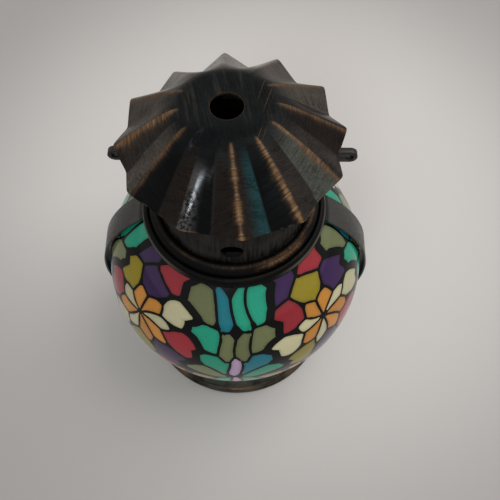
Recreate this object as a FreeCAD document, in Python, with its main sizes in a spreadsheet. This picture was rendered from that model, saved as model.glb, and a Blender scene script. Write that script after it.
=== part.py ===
import FreeCAD, Part
import math
import os
import re
import Sketcher

# Small table lantern: a glass ball caged between a spun foot and a collar by two straps,
# with a pleated sheet cap that lifts off. Millimetres, +Z up, origin on the floor under the foot.
# The straps and ears lie on the X axis and the front of the lantern faces -Y.

SIZES = [
    ("candle_radius", "20.3", "inside radius of the candle cup"),
    ("cup_wall", "0.6", "sheet of the candle cup"),
    ("cup_lip", "1.2", "width of the lip turned out at the cup mouth"),
    ("cup_height", "12", "height of the candle cup"),
    ("cup_clear", "3.0", "room between the cup lip and the lower opening of the globe"),
    ("globe_overlap", "2.5", "how far the globe runs in past its seat"),
    ("globe_radius", "50", "outside radius of the glass ball"),
    ("globe_wall", "2.5", "thickness of the glass"),
    ("globe_mouth", "21.5", "radius of the upper opening of the globe"),
    ("foot_sheet", "1.0", "sheet of the foot"),
    ("foot_flare", "10.8", "how far the foot spreads beyond its band"),
    ("foot_round", "2.2", "radius of the rounded foot rim"),
    ("flare_rise", "6.0", "height of the sloped part of the foot"),
    ("band_height", "5.6", "height of the upright band of the foot"),
    ("pan_depth", "8.8", "depth of the pan below the band"),
    ("pan_sheet", "0.8", "sheet of the pan"),
    ("snug", "0.1", "gap between seated pieces"),
    ("strap_width", "11", "width of a side strap"),
    ("strap_sheet", "0.8", "thickness of a side strap"),
    ("strap_bulge", "1.3", "gap between strap and globe at the widest place"),
    ("strap_gap", "0.2", "gap over and under the strap below the collar skirt"),
    ("strap_tuck", "4.3", "how far the strap runs in under the skirt"),
    ("strap_tail", "5.0", "length of the strap end on the foot band"),
    ("mouth_clear", "3.3", "room between the globe opening and the collar wall"),
    ("collar_sheet", "0.8", "sheet of the collar"),
    ("collar_height", "35.8", "height of the collar wall above its cove"),
    ("cove_round", "0.8", "radius of the cove at the foot of the collar wall"),
    ("skirt_flare", "6.9", "how far the collar skirt spreads beyond the wall"),
    ("bead_round", "1.9", "radius of the moulding at the foot of the collar wall"),
    ("bead_inset", "4.3", "distance of the moulding from the skirt edge"),
    ("lip_round", "1.0", "radius of the thin bead near the skirt edge"),
    ("lip_inset", "1.5", "distance of the thin bead from the skirt edge"),
    ("vent_radius", "3.8", "radius of a vent in the collar wall"),
    ("vent_rise", "6.8", "height of the vent middle above the cove"),
    ("ear_height", "5", "height of the round-ended plate of a hanging ear"),
    ("ear_plate", "2.0", "thickness of that plate"),
    ("ear_width", "5", "width of the ear leg"),
    ("ear_sheet", "1.0", "thickness of the ear leg"),
    ("ear_reach", "14", "how far an ear stands out from the collar wall"),
    ("ear_drop", "8", "depth of the ear below the collar rim"),
    ("ear_leg", "13", "length of the ear leg on the collar wall"),
    ("ear_hole", "1.25", "radius of the hole in an ear"),
    ("ear_rivet_drop", "9", "depth of the ear rivet below the top of the ear"),
    ("rivet_shank", "1.2", "radius of a rivet shank"),
    ("rivet_head", "2.2", "radius of a rivet head"),
    ("rivet_dome", "0.9", "height of a rivet head"),
    ("rivet_tail", "0.7", "height of the closed end of a rivet"),
    ("rivet_slack", "0.05", "gap round a rivet shank"),
    ("pleats", "12", "number of pleats in the cap"),
    ("pleat_turn", "5.7", "turn of the first pleat from the X axis in degrees"),
    ("crown_radius", "14", "radius of the flat crown of the cap"),
    ("crown_hole", "5", "radius of the hole in the crown"),
    ("ridge_reach", "22.6", "how far a ridge runs out from the crown"),
    ("ridge_drop", "16", "fall of a ridge from the crown to its tip"),
    ("valley_reach", "19.2", "how far a valley runs out from the crown"),
    ("valley_drop", "19.5", "fall of a valley from the crown to the rim"),
    ("cap_sheet", "1.2", "upright thickness of the cap sheet"),
    ("cap_gap", "0.45", "gap between the cap and the collar rim"),
    ("sleeve_gap", "0.4", "gap between the cap sleeve and the collar wall"),
    ("sleeve_sheet", "0.8", "sheet of the cap sleeve"),
    ("sleeve_depth", "12", "how far the cap sleeve reaches into the collar"),
]

doc = FreeCAD.newDocument("lantern")
sheet = doc.addObject("Spreadsheet::Sheet", "sizes")
for row, (alias, value, note) in enumerate(SIZES, 1):
    sheet.set("A%d" % row, note)
    sheet.set("B%d" % row, value)
    sheet.setAlias("B%d" % row, alias)
doc.recompute()
ALIASES = {entry[0] for entry in SIZES}


def bind(text):
    """Turn plain size names into links to the sheet."""
    return re.sub(r"[a-z_]+", lambda m: "sizes." + m.group(0) if m.group(0) in ALIASES else m.group(0), text)


def number(text):
    """The present value of an expression over the sizes."""
    value = sheet.evalExpression(bind(text))
    return float(getattr(value, "Value", value))


# Places that follow from the sizes, worked out from the candle outward and from the floor upward.
FLARE_TOP = "(2 * foot_round + flare_rise)"
BAND_TOP = "(%s + band_height)" % FLARE_TOP
PAN_FLOOR = "(%s - pan_depth)" % BAND_TOP
OPENING = "(candle_radius + cup_wall + cup_lip + cup_clear)"
SEAT = "(%s + globe_overlap)" % OPENING
PAN_OUT = "(%s + pan_sheet)" % SEAT
BAND_IN = "(%s + snug)" % PAN_OUT
BAND = "(%s + foot_sheet)" % BAND_IN
FOOT = "(%s + foot_flare)" % BAND
SEAT_TOP = "(%s + pan_sheet)" % BAND_TOP
MIDDLE = "(%s + snug + sqrt(globe_radius^2 - %s^2))" % (SEAT_TOP, SEAT)
INNER = "(globe_radius - globe_wall)"
COLLAR_IN = "(globe_mouth + mouth_clear)"
COLLAR = "(%s + collar_sheet)" % COLLAR_IN
SKIRT = "(%s + skirt_flare)" % COLLAR
STRAP_IN = "(globe_radius + strap_gap)"
STRAP_OUT = "(globe_radius + strap_gap + strap_sheet)"
SKIRT_IN = "(sqrt(%s^2 + strap_width^2 / 4) + strap_gap)" % STRAP_OUT
SKIRT_OUT = "(%s + collar_sheet)" % SKIRT_IN
COVE_OUT = "(%s + cove_round)" % COLLAR
COVE_LOW = "(%s + sqrt(%s^2 - %s^2))" % (MIDDLE, SKIRT_OUT, COVE_OUT)
COVE_TOP = "(%s + cove_round)" % COVE_LOW
COLLAR_TOP = "(%s + collar_height)" % COVE_TOP
EAR_TOP = "(%s - ear_drop)" % COLLAR_TOP
EAR_RIVET = "(%s - ear_rivet_drop)" % EAR_TOP
EAR_IN = "(%s + snug)" % COLLAR
EAR_TIP = "(%s + ear_reach)" % COLLAR
STRAP_LEG = "(%s + snug)" % BAND
FOOT_RIVET = "(%s - band_height / 2)" % BAND_TOP
RIVET_HOLE = "(rivet_shank + rivet_slack)"
SLOPE = "(valley_drop / valley_reach)"
CROWN = "(%s + cap_gap + cap_sheet + %s * (%s - crown_radius))" % (COLLAR_TOP, SLOPE, COLLAR)
SLEEVE_OUT = "(%s - sleeve_gap)" % COLLAR_IN
SLEEVE_TOP = "(%s - cap_sheet - %s * (%s - crown_radius) - snug)" % (CROWN, SLOPE, SLEEVE_OUT)


def on_ball(radius, x, sign):
    """Height where a sphere about the globe's middle has the given distance from the axis."""
    return "(%s %s sqrt(%s^2 - %s^2))" % (MIDDLE, sign, radius, x)


def new_body(label):
    body = doc.addObject("PartDesign::Body", label)
    body.Label = label
    return body


def new_sketch(body, role, height=None):
    """A sketch on one of the body's own origin planes, raised along its normal if asked."""
    sketch = body.newObject("Sketcher::SketchObject", body.Name + "_outline")
    plane = [item for item in body.Origin.OriginFeatures if item.Role == role][0]
    sketch.AttachmentSupport = [(plane, "")]
    sketch.MapMode = "FlatFace"
    if height:
        sketch.setExpression("AttachmentOffset.Base.z", bind(height))
    return sketch


def pin(sketch, side, end, axis, text):
    """Hold one coordinate of a corner at the value of an expression."""
    if abs(number(text)) < 1e-9:
        line = -2 if axis == "DistanceX" else -1
        sketch.addConstraint(Sketcher.Constraint("PointOnObject", side, end, line))
        return
    index = sketch.addConstraint(Sketcher.Constraint(axis, -1, 1, side, end, number(text)))
    sketch.setExpression("Constraints[%d]" % index, bind(text))


def outline(sketch, corners, bends=None):
    """Closed outline through the corners; a bend gives a side its radius and which way it bows."""
    bends = bends or {}
    spots = [FreeCAD.Vector(number(x), number(y), 0) for x, y in corners]
    count = len(spots)
    sides = []
    for i in range(count):
        start = spots[i]
        stop = spots[(i + 1) % count]
        if i not in bends:
            side = sketch.addGeometry(Part.LineSegment(start, stop), False)
            sides.append((side, 1, 2))
            continue
        radius = number(bends[i][0])
        middle = (start + stop) * 0.5
        along = (stop - start).normalize()
        across = FreeCAD.Vector(-along.y, along.x, 0) * bends[i][1]
        half = start.distanceToPoint(stop) / 2
        inset = math.sqrt(max(radius * radius - half * half, 0.0))
        top = middle - across * (radius - inset)
        side = sketch.addGeometry(Part.Arc(start, top, stop), False)
        forward = sketch.getPoint(side, 1).distanceToPoint(start) < 1e-6
        sides.append((side, 1, 2) if forward else (side, 2, 1))
    for i in range(count):
        following = sides[(i + 1) % count]
        sketch.addConstraint(Sketcher.Constraint("Coincident", sides[i][0], sides[i][2], following[0], following[1]))
    for i in range(count):
        pin(sketch, sides[i][0], sides[i][1], "DistanceX", corners[i][0])
        pin(sketch, sides[i][0], sides[i][1], "DistanceY", corners[i][1])
        if i in bends:
            index = sketch.addConstraint(Sketcher.Constraint("Radius", sides[i][0], number(bends[i][0])))
            sketch.setExpression("Constraints[%d]" % index, bind(bends[i][0]))


def disc(sketch, x, y, radius):
    """A circle in a sketch."""
    middle = FreeCAD.Vector(number(x), number(y), 0)
    side = sketch.addGeometry(Part.Circle(middle, FreeCAD.Vector(0, 0, 1), number(radius)), False)
    pin(sketch, side, 3, "DistanceX", x)
    pin(sketch, side, 3, "DistanceY", y)
    index = sketch.addConstraint(Sketcher.Constraint("Radius", side, number(radius)))
    sketch.setExpression("Constraints[%d]" % index, bind(radius))


def turn(body, corners, bends=None):
    """Turn an outline about the upright axis."""
    sketch = new_sketch(body, "XZ_Plane")
    outline(sketch, corners, bends)
    feature = body.newObject("PartDesign::Revolution", body.Name + "_turned")
    feature.Profile = sketch
    feature.ReferenceAxis = (sketch, ["V_Axis"])
    feature.Angle = 360
    return feature


def bore_across(body, role, y, radius):
    """Drill right through the body along the normal of a plane, at one height on the axis."""
    sketch = new_sketch(body, role)
    disc(sketch, "0", y, radius)
    feature = body.newObject("PartDesign::Pocket", body.Name + "_bore")
    feature.Profile = sketch
    feature.Type = "ThroughAll"
    feature.Midplane = True
    return feature


def mirrored(source, label):
    twin = doc.addObject("Part::Mirroring", label)
    twin.Label = label
    twin.Source = source
    twin.Base = FreeCAD.Vector(0, 0, 0)
    twin.Normal = FreeCAD.Vector(1, 0, 0)
    return twin


def rivet(label, grip):
    """A rivet along its own Z axis: its head sits on the plane z = 0."""
    body = new_body(label)
    dome = "((rivet_head^2 + rivet_dome^2) / (2 * rivet_dome))"
    corners = [
        ("0", "-(%s) - rivet_tail" % grip),
        ("rivet_head", "-(%s) - rivet_tail" % grip),
        ("rivet_head", "-(%s)" % grip),
        ("rivet_shank", "-(%s)" % grip),
        ("rivet_shank", "0"),
        ("rivet_head", "0"),
        ("0", "rivet_dome"),
    ]
    turn(body, corners, {5: (dome, 1)})
    return body


# Foot: rounded rim, sloped flare and upright band.
foot = new_body("foot")
turn(
    foot,
    [
        (FOOT + " - 2 * foot_round", "0"),
        (FOOT + " - foot_round", "0"),
        (FOOT, "foot_round"),
        (FOOT + " - foot_round", "2 * foot_round"),
        (BAND, FLARE_TOP),
        (BAND, BAND_TOP),
        (BAND_IN, BAND_TOP),
        (BAND_IN, FLARE_TOP + " - foot_sheet / 2"),
        (FOOT + " - 2 * foot_round", "2 * foot_round - foot_sheet"),
    ],
    {1: ("foot_round", 1), 2: ("foot_round", 1)},
)
bore_across(foot, "YZ_Plane", FOOT_RIVET, RIVET_HOLE)

# Pan: hangs in the band by its flange and carries the globe on its inner edge.
pan = new_body("base_pan")
turn(
    pan,
    [
        (RIVET_HOLE, PAN_FLOOR),
        (PAN_OUT, PAN_FLOOR),
        (PAN_OUT, BAND_TOP),
        (BAND, BAND_TOP),
        (BAND, SEAT_TOP),
        (SEAT, SEAT_TOP),
        (SEAT, PAN_FLOOR + " + pan_sheet"),
        (RIVET_HOLE, PAN_FLOOR + " + pan_sheet"),
    ],
)
bore_across(pan, "YZ_Plane", FOOT_RIVET, RIVET_HOLE)

# Candle cup with a lip, on the floor of the pan.
CUP_FLOOR = "(%s + pan_sheet)" % PAN_FLOOR
cup = new_body("candle_cup")
turn(
    cup,
    [
        (RIVET_HOLE, CUP_FLOOR),
        ("candle_radius + cup_wall", CUP_FLOOR),
        ("candle_radius + cup_wall", CUP_FLOOR + " + cup_height - cup_wall"),
        ("candle_radius + cup_wall + cup_lip", CUP_FLOOR + " + cup_height - cup_wall"),
        ("candle_radius + cup_wall + cup_lip", CUP_FLOOR + " + cup_height"),
        ("candle_radius", CUP_FLOOR + " + cup_height"),
        ("candle_radius", CUP_FLOOR + " + cup_wall"),
        (RIVET_HOLE, CUP_FLOOR + " + cup_wall"),
    ],
)
cup_rivet = rivet("candle_cup_rivet", "cup_wall + pan_sheet")
cup_rivet.setExpression("Placement.Base.z", bind(CUP_FLOOR + " + cup_wall"))

# Globe: a ball of even wall, open below and above.
globe = new_body("glass_globe")
turn(
    globe,
    [
        (OPENING, on_ball("globe_radius", OPENING, "-")),
        ("globe_mouth", on_ball("globe_radius", "globe_mouth", "+")),
        ("globe_mouth", on_ball(INNER, "globe_mouth", "+")),
        (OPENING, on_ball(INNER, OPENING, "-")),
    ],
    {0: ("globe_radius", 1), 2: (INNER, -1)},
)

# Straps: tucked under the skirt, bowed off the globe and riveted to the foot band.
STRAP_EDGE = "(%s + collar_sheet)" % SKIRT
STRAP_END = "(%s - strap_tuck)" % SKIRT
GROWTH = "(%s / %s)" % (STRAP_OUT, STRAP_IN)


def bow(reach, near, edge):
    """Radius of the arc about the globe's level that joins the near sphere to the widest place."""
    return "(%s - (%s^2 - %s^2) / (2 * (%s - %s)))" % (reach, reach, near, reach, edge)


BOW_IN = bow("(globe_radius + strap_bulge)", STRAP_IN, STRAP_EDGE)
BOW_OUT = bow("(globe_radius + strap_bulge + strap_sheet)", STRAP_OUT, "(%s * %s)" % (STRAP_EDGE, GROWTH))
strap = new_body("strap_right")
strap_sketch = new_sketch(strap, "XZ_Plane")
outline(
    strap_sketch,
    [
        (STRAP_END, on_ball(STRAP_IN, STRAP_END, "+")),
        (STRAP_EDGE, on_ball(STRAP_IN, STRAP_EDGE, "+")),
        (STRAP_EDGE, on_ball(STRAP_IN, STRAP_EDGE, "-")),
        (STRAP_LEG, SEAT_TOP),
        (STRAP_LEG, BAND_TOP + " - strap_tail"),
        (STRAP_LEG + " + strap_sheet", BAND_TOP + " - strap_tail"),
        (STRAP_LEG + " + strap_sheet", SEAT_TOP + " - strap_sheet / 2"),
        (STRAP_EDGE + " * " + GROWTH, on_ball(STRAP_OUT, "(%s * %s)" % (STRAP_EDGE, GROWTH), "-")),
        (STRAP_EDGE + " * " + GROWTH, on_ball(STRAP_OUT, "(%s * %s)" % (STRAP_EDGE, GROWTH), "+")),
        (STRAP_END + " * " + GROWTH, on_ball(STRAP_OUT, "(%s * %s)" % (STRAP_END, GROWTH), "+")),
    ],
    {0: (STRAP_IN, -1), 1: (BOW_IN, -1), 7: (BOW_OUT, 1), 8: (STRAP_OUT, 1)},
)
strap_band = strap.newObject("PartDesign::Pad", "strap_band")
strap_band.Profile = strap_sketch
strap_band.Midplane = True
strap_band.setExpression("Length", bind("strap_width"))
bore_across(strap, "YZ_Plane", FOOT_RIVET, RIVET_HOLE)
strap_left = mirrored(strap, "strap_left")

# Collar: upright wall, cove, skirt that follows the globe, and two beads round the skirt.
collar = new_body("collar")
turn(
    collar,
    [
        (COLLAR_IN, COLLAR_TOP),
        (COLLAR_IN, on_ball(SKIRT_IN, COLLAR_IN, "+")),
        (SKIRT, on_ball(SKIRT_IN, SKIRT, "+")),
        (SKIRT, on_ball(SKIRT_OUT, SKIRT, "+")),
        (COVE_OUT, COVE_LOW),
        (COLLAR, COVE_TOP),
        (COLLAR, COLLAR_TOP),
    ],
    {1: (SKIRT_IN, -1), 3: (SKIRT_OUT, 1), 4: ("cove_round", -1)},
)


def beaded(label, inset, radius):
    """Add a round bead that stands on the collar skirt."""
    place = "(%s - %s)" % (SKIRT, inset)
    ball = "(%s + %s * 0.6)" % (SKIRT_OUT, radius)
    sketch = new_sketch(collar, "XZ_Plane")
    disc(sketch, place, on_ball(ball, place, "+"), radius)
    feature = collar.newObject("PartDesign::Revolution", label)
    feature.Profile = sketch
    feature.ReferenceAxis = (sketch, ["V_Axis"])
    feature.Angle = 360


beaded("collar_moulding", "bead_inset", "bead_round")
beaded("collar_bead", "lip_inset", "lip_round")
VENT = "(%s + vent_rise)" % COVE_TOP
bore_across(collar, "XZ_Plane", VENT, "vent_radius")
bore_across(collar, "YZ_Plane", VENT, "vent_radius")
bore_across(collar, "YZ_Plane", EAR_RIVET, RIVET_HOLE)

# Ears: an upright round-ended plate with a hole, on a leg riveted to the collar wall.
EAR_LOW = "(%s - ear_height)" % EAR_TOP
EAR_MIDDLE = "(%s - ear_height / 2)" % EAR_TOP
EAR_ROUND = "(%s - ear_height / 2)" % EAR_TIP
ear = new_body("hanging_ear_right")
plate_sketch = new_sketch(ear, "XZ_Plane")
outline(
    plate_sketch,
    [
        (EAR_IN, EAR_LOW),
        (EAR_ROUND, EAR_LOW),
        (EAR_TIP, EAR_MIDDLE),
        (EAR_ROUND, EAR_TOP),
        (EAR_IN, EAR_TOP),
    ],
    {1: ("ear_height / 2", 1), 2: ("ear_height / 2", 1)},
)
disc(plate_sketch, EAR_ROUND, EAR_MIDDLE, "ear_hole")
plate = ear.newObject("PartDesign::Pad", "ear_round_plate")
plate.Profile = plate_sketch
plate.Midplane = True
plate.setExpression("Length", bind("ear_plate"))
leg_sketch = new_sketch(ear, "XY_Plane", EAR_TOP + " - ear_leg")
outline(
    leg_sketch,
    [
        (EAR_IN, "-ear_width / 2"),
        (EAR_IN + " + ear_sheet", "-ear_width / 2"),
        (EAR_IN + " + ear_sheet", "ear_width / 2"),
        (EAR_IN, "ear_width / 2"),
    ],
)
leg = ear.newObject("PartDesign::Pad", "ear_leg_plate")
leg.Profile = leg_sketch
leg.setExpression("Length", bind("ear_leg"))
bore_across(ear, "YZ_Plane", EAR_RIVET, RIVET_HOLE)
ear_left = mirrored(ear, "hanging_ear_left")


def rivet_pair(label, face, back, height):
    """Two rivets facing outward on the X axis, as one group of separate solids."""
    right = rivet(label + "_right", "(%s) - sqrt((%s)^2 - rivet_head^2) + rivet_slack" % (face, back))
    right.Placement = FreeCAD.Placement(FreeCAD.Vector(), FreeCAD.Rotation(FreeCAD.Vector(0, 1, 0), 90))
    right.setExpression("Placement.Base.x", bind(face))
    right.setExpression("Placement.Base.z", bind(height))
    group = doc.addObject("Part::Compound", label)
    group.Label = label
    group.Links = [right, mirrored(right, label + "_left")]
    return group


ear_rivets = rivet_pair("ear_rivets", EAR_IN + " + ear_sheet", COLLAR_IN, EAR_RIVET)
foot_rivets = rivet_pair("strap_foot_rivets", STRAP_LEG + " + strap_sheet", SEAT, FOOT_RIVET)


def pleated_sheet():
    """The cap: a flat crown with a hole, and ridges and valleys folded down all round it."""
    count = int(round(number("pleats")))
    turned = math.radians(number("pleat_turn"))
    crown = number("crown_radius")
    top = number(CROWN)
    down = FreeCAD.Vector(0, 0, -number("cap_sheet"))

    def spot(radius, half_steps, height):
        angle = turned + math.pi * half_steps / count
        return FreeCAD.Vector(radius * math.cos(angle), radius * math.sin(angle), height)

    def flat(*spots):
        return Part.Face(Part.makePolygon(list(spots) + [spots[0]]))

    edge = [spot(crown, step, top) for step in range(2 * count)]
    rim = []
    for step in range(2 * count):
        reach = number("ridge_reach") if step % 2 == 0 else number("valley_reach")
        drop = number("ridge_drop") if step % 2 == 0 else number("valley_drop")
        rim.append(spot(crown + reach, step, top - drop))
    faces = [flat(*edge), flat(*[p + down for p in edge])]
    for step in range(2 * count):
        after = (step + 1) % (2 * count)
        ridge, valley = (step, after) if step % 2 == 0 else (after, step)
        for shift in (FreeCAD.Vector(), down):
            faces.append(flat(edge[ridge] + shift, rim[ridge] + shift, edge[valley] + shift))
            faces.append(flat(edge[valley] + shift, rim[ridge] + shift, rim[valley] + shift))
        faces.append(flat(rim[step], rim[after], rim[after] + down, rim[step] + down))
    solid = Part.makeSolid(Part.makeShell(faces))
    if solid.Volume < 0:
        solid.reverse()
    below = FreeCAD.Vector(0, 0, top - 2 * number("cap_sheet"))
    return solid.cut(Part.makeCylinder(number("crown_hole"), 3 * number("cap_sheet"), below))


cap = doc.addObject("Part::Feature", "pleated_cap")
cap.Label = "pleated_cap"
cap.Shape = pleated_sheet()
cap.Placement = FreeCAD.Placement()

# Sleeve under the cap, a loose fit in the collar.
sleeve = new_body("cap_sleeve")
turn(
    sleeve,
    [
        (SLEEVE_OUT + " - sleeve_sheet", COLLAR_TOP + " - sleeve_depth"),
        (SLEEVE_OUT, COLLAR_TOP + " - sleeve_depth"),
        (SLEEVE_OUT, SLEEVE_TOP),
        (SLEEVE_OUT + " - sleeve_sheet", SLEEVE_TOP),
    ],
)

doc.recompute()
PIECES = [
    foot,
    pan,
    cup,
    cup_rivet,
    globe,
    strap,
    strap_left,
    foot_rivets,
    collar,
    ear,
    ear_left,
    ear_rivets,
    cap,
    sleeve,
]
for item in doc.Objects:
    if "Invalid" in item.State or "Error" in item.State:
        raise RuntimeError("%s did not build" % item.Label)
os.makedirs("parts", exist_ok=True)
for piece in PIECES:
    if piece.Shape.isNull() or not piece.Shape.isValid():
        raise RuntimeError("%s has no sound shape" % piece.Label)
    piece.Shape.exportStep("parts/%s.step" % piece.Label)
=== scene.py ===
import math
import random

import bmesh
import bpy
import numpy
from mathutils import Matrix, Vector


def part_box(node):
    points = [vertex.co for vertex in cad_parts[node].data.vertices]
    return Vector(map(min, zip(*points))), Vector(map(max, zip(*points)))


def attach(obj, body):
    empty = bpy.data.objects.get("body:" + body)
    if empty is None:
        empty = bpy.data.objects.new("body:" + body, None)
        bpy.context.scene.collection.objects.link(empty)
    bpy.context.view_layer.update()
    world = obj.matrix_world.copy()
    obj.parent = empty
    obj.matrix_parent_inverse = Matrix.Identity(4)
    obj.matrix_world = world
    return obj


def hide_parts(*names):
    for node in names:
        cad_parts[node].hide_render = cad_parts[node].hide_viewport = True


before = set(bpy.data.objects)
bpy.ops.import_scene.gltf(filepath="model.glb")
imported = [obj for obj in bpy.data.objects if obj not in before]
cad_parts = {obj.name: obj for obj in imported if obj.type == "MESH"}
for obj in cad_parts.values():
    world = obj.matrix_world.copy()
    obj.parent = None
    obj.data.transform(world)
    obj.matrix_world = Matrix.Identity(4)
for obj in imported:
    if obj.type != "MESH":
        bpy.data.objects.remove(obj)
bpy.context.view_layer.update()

bl_info = {
    "name": "Candle Lantern",
    "version": (1, 0, 0),
    "blender": (4, 5, 0),
    "location": "3D View > Sidebar > Lantern",
    "description": "Builds the looks of a small candle lantern round its packed model",
    "category": "Object",
}

MM = 0.001
TINY = 1e-6
SHARP = math.radians(35)
LATHE_STEPS = 192
CAP_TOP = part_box("pleated_cap")[1].z
GLOBE_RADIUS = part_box("glass_globe")[1].x
COLLAR_LOW, COLLAR_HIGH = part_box("collar")


def length(label, note, default):
    """A length property in metres."""
    return bpy.props.FloatProperty(
        name=label, description=note, default=default, unit="LENGTH", precision=5
    )


def tint(label, note, default):
    return bpy.props.FloatVectorProperty(
        name=label, description=note, default=default, subtype="COLOR", size=3, min=0.0, max=1.0
    )


class LanternSizes(bpy.types.PropertyGroup):
    """Sizes of the dressed pieces, in metres."""

    pleats: bpy.props.IntProperty(
        name="Pleats", description="Number of pleats in the cap", default=12, min=3
    )
    pleat_turn: bpy.props.FloatProperty(
        name="Pleat turn", description="Turn of the first ridge from X", default=math.radians(5.7),
        subtype="ANGLE",
    )
    crown_radius: length("Crown radius", "Radius of the flat crown of the cap", 14 * MM)
    crown_hole: length("Crown hole", "Radius of the hole in the crown", 5 * MM)
    crown_height: length("Crown height", "Height of the crown above the floor", CAP_TOP)
    ridge_reach: length("Ridge reach", "How far a ridge runs out from the crown", 22.6 * MM)
    ridge_drop: length("Ridge drop", "Fall of a ridge from the crown to its tip", 16 * MM)
    valley_reach: length("Valley reach", "How far a valley runs out from the crown", 19.2 * MM)
    valley_drop: length("Valley drop", "Fall of a valley from the crown to the rim", 19.5 * MM)
    cap_sheet: length("Cap sheet", "Thickness of the cap sheet", 0.8 * MM)
    globe_radius: length("Globe radius", "Outside radius of the glass ball", GLOBE_RADIUS)
    globe_middle: length("Globe middle", "Height of the middle of the ball", 58.59 * MM)
    globe_wall: length("Globe wall", "Thickness of the glass", 2.5 * MM)
    globe_mouth: length("Globe mouth", "Radius of the upper opening", 21.5 * MM)
    globe_opening: length("Globe opening", "Radius of the lower opening", 25.1 * MM)
    lead_width: length("Lead width", "Width of the dark lines between panes", 1.08 * MM)
    soft_edge: length("Soft edge", "Width of the rounding on sheet edges", 0.25 * MM)


class LanternColours(bpy.types.PropertyGroup):
    """Colours of the finishes and of the light painted on the cap's flanks, as linear values."""

    black: tint("Black", "Antiqued black of the metal", (0.0018, 0.0021, 0.0024))
    brown: tint("Brown", "Warm brown that shows through the black", (0.0135, 0.0098, 0.0078))
    # On the cap's flanks ash, taupe, back sheen and moss are painted light: how much of the lamps and room
    # each flank catches and mirrors. Ash and taupe are also the own tones of the collar, the ears and the
    # crown's hair lines.
    ash: tint("Ash", "Rubbed grey-brown faces", (0.024, 0.02, 0.0172))
    slate: tint("Slate", "Cool dark of the crown", (0.007, 0.0083, 0.0087))
    taupe: tint("Taupe", "Dull grey-brown faces at the sides", (0.062, 0.053, 0.044))
    back_sheen: tint("Back sheen", "Paler dull faces at the back", (0.16, 0.149, 0.134))
    moss: tint("Moss", "Grey-green faces", (0.062, 0.065, 0.055))
    stone: tint("Stone", "Dull grey of the foot", (0.094, 0.09, 0.072))
    rust: tint("Rust", "Dark red-brown where the black is thin", (0.075, 0.042, 0.027))
    copper: tint("Copper", "Rubbed copper on the folds", (0.235, 0.124, 0.057))
    tan: tint("Tan", "Pale rubbed metal among the copper", (0.29, 0.194, 0.107))
    # The blue-green tone of one cap flank, which grows across it from brown.
    teal_flank: tint("Teal flank", "Blue-green tarnish on some faces", (0.0092, 0.032, 0.0355))
    strap: tint("Strap", "Satin grey of the side straps", (0.056, 0.054, 0.049))
    tin: tint("Tin", "Plain sheet inside the lantern", (0.3, 0.28, 0.26))
    lead: tint("Lead", "Dark lines between the panes", (0.004, 0.0044, 0.0044))
    teal: tint("Teal", "Leaf panes", (0.018, 0.37, 0.225))
    sea: tint("Sea", "Blue-green leaf panes", (0.011, 0.21, 0.27))
    sage: tint("Sage", "Grey-green leaf panes", (0.19, 0.215, 0.095))
    olive: tint("Olive", "Yellow-green petal panes", (0.33, 0.255, 0.019))
    orange: tint("Orange", "Orange petal panes", (0.69, 0.285, 0.048))
    cream: tint("Cream", "Cream petal panes", (0.68, 0.63, 0.38))
    red: tint("Red", "Red petal panes", (0.38, 0.03, 0.042))
    purple: tint("Purple", "Purple petal panes", (0.048, 0.018, 0.085))
    lilac: tint("Lilac", "Lilac bud panes", (0.64, 0.44, 0.66))
    floor: tint("Floor", "Pale floor", (0.75, 0.715, 0.685))


def clamp(value):
    return min(1, max(0, value))


def fade(value, start, stop):
    """0 at the start, 1 at the stop, and even between them."""
    return clamp((value - start) / (stop - start))


def scaled_tint(colour, share):
    return [channel * share for channel in colour]


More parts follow.
